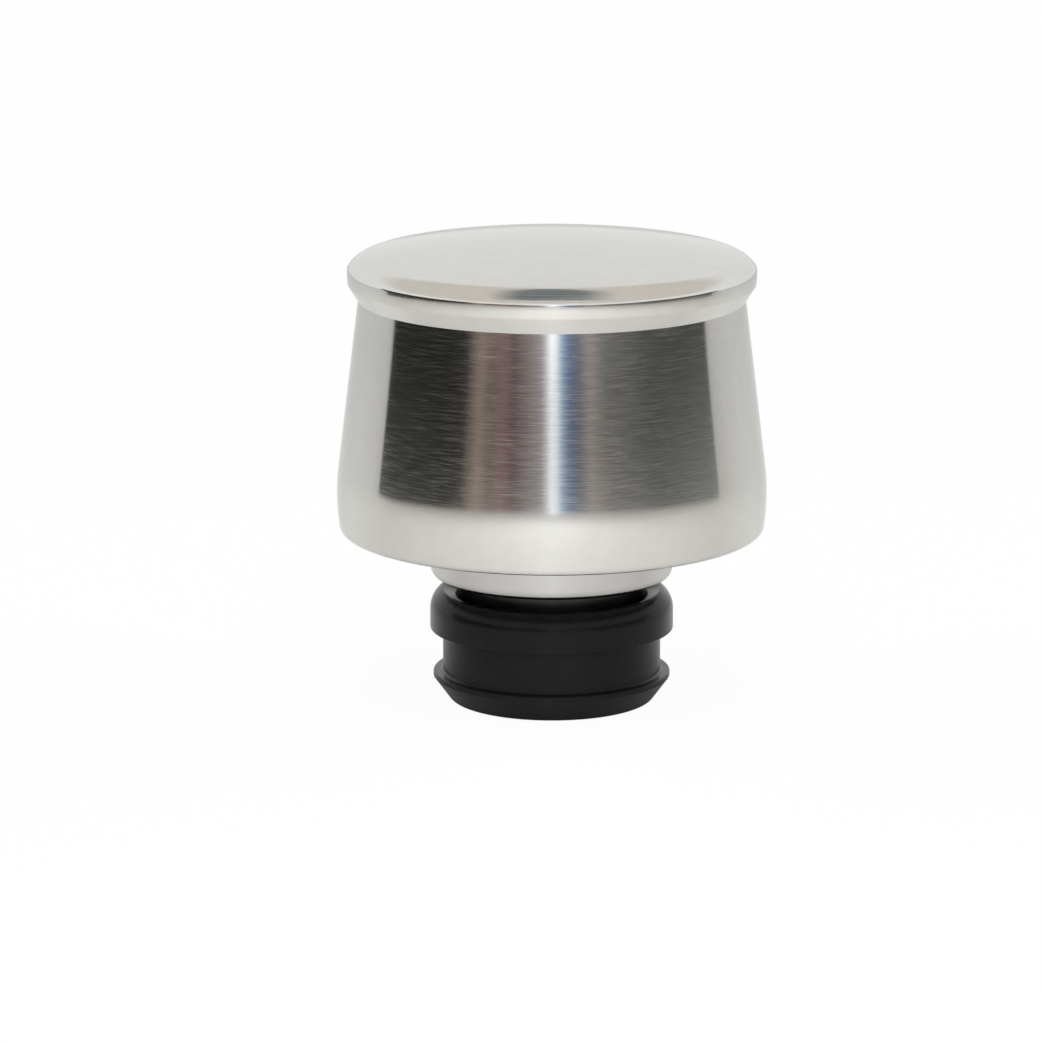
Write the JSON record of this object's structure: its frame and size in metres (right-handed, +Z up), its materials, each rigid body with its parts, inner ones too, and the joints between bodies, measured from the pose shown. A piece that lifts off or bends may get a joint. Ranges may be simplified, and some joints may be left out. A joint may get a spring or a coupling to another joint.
{
  "type": "crankcase breather cap",
  "caption": "Turned aluminium breather cap with a flared skirt, vented underside and inner filter, on a neck that pushes into a rubber grommet in an engine's valve cover.",
  "frame": {"origin": "centre of the grommet's bottom face, on which the cap stands", "axes": "+Z up along the neck's axis, towards the lid"},
  "size_m": [0.0624, 0.0624, 0.068],
  "materials": {
    "turned_aluminium": "turned and polished, with fine marks around the axis",
    "plate_aluminium": "turned and polished",
    "neck_aluminium": "drawn tube, black anodised",
    "spring_steel": "dark oiled spring steel",
    "pressed_steel": "zinc plated pressed sheet",
    "rivet_aluminium": "plain",
    "screen_steel": "zinc plated punched sheet",
    "filter_foam": "open-cell foam",
    "grommet_rubber": "moulded, semi-gloss"
  },
  "bodies": {
    "grommet": {"grommet": "grommet_rubber"},
    "cap": {"cap_shell": "turned_aluminium", "base_plate": "plate_aluminium", "neck_tube": "neck_aluminium", "snap_ring": "spring_steel", "splash_baffle": "pressed_steel", "baffle_rivets": "rivet_aluminium", "filter_screen": "screen_steel", "filter_element": "filter_foam"}
  },
  "joints": [
    {"name": "cap_pull", "type": "slide", "parent": "grommet", "child": "cap", "axis": [0, 0, 1], "range_m": [0, 0.02]}
  ]
}
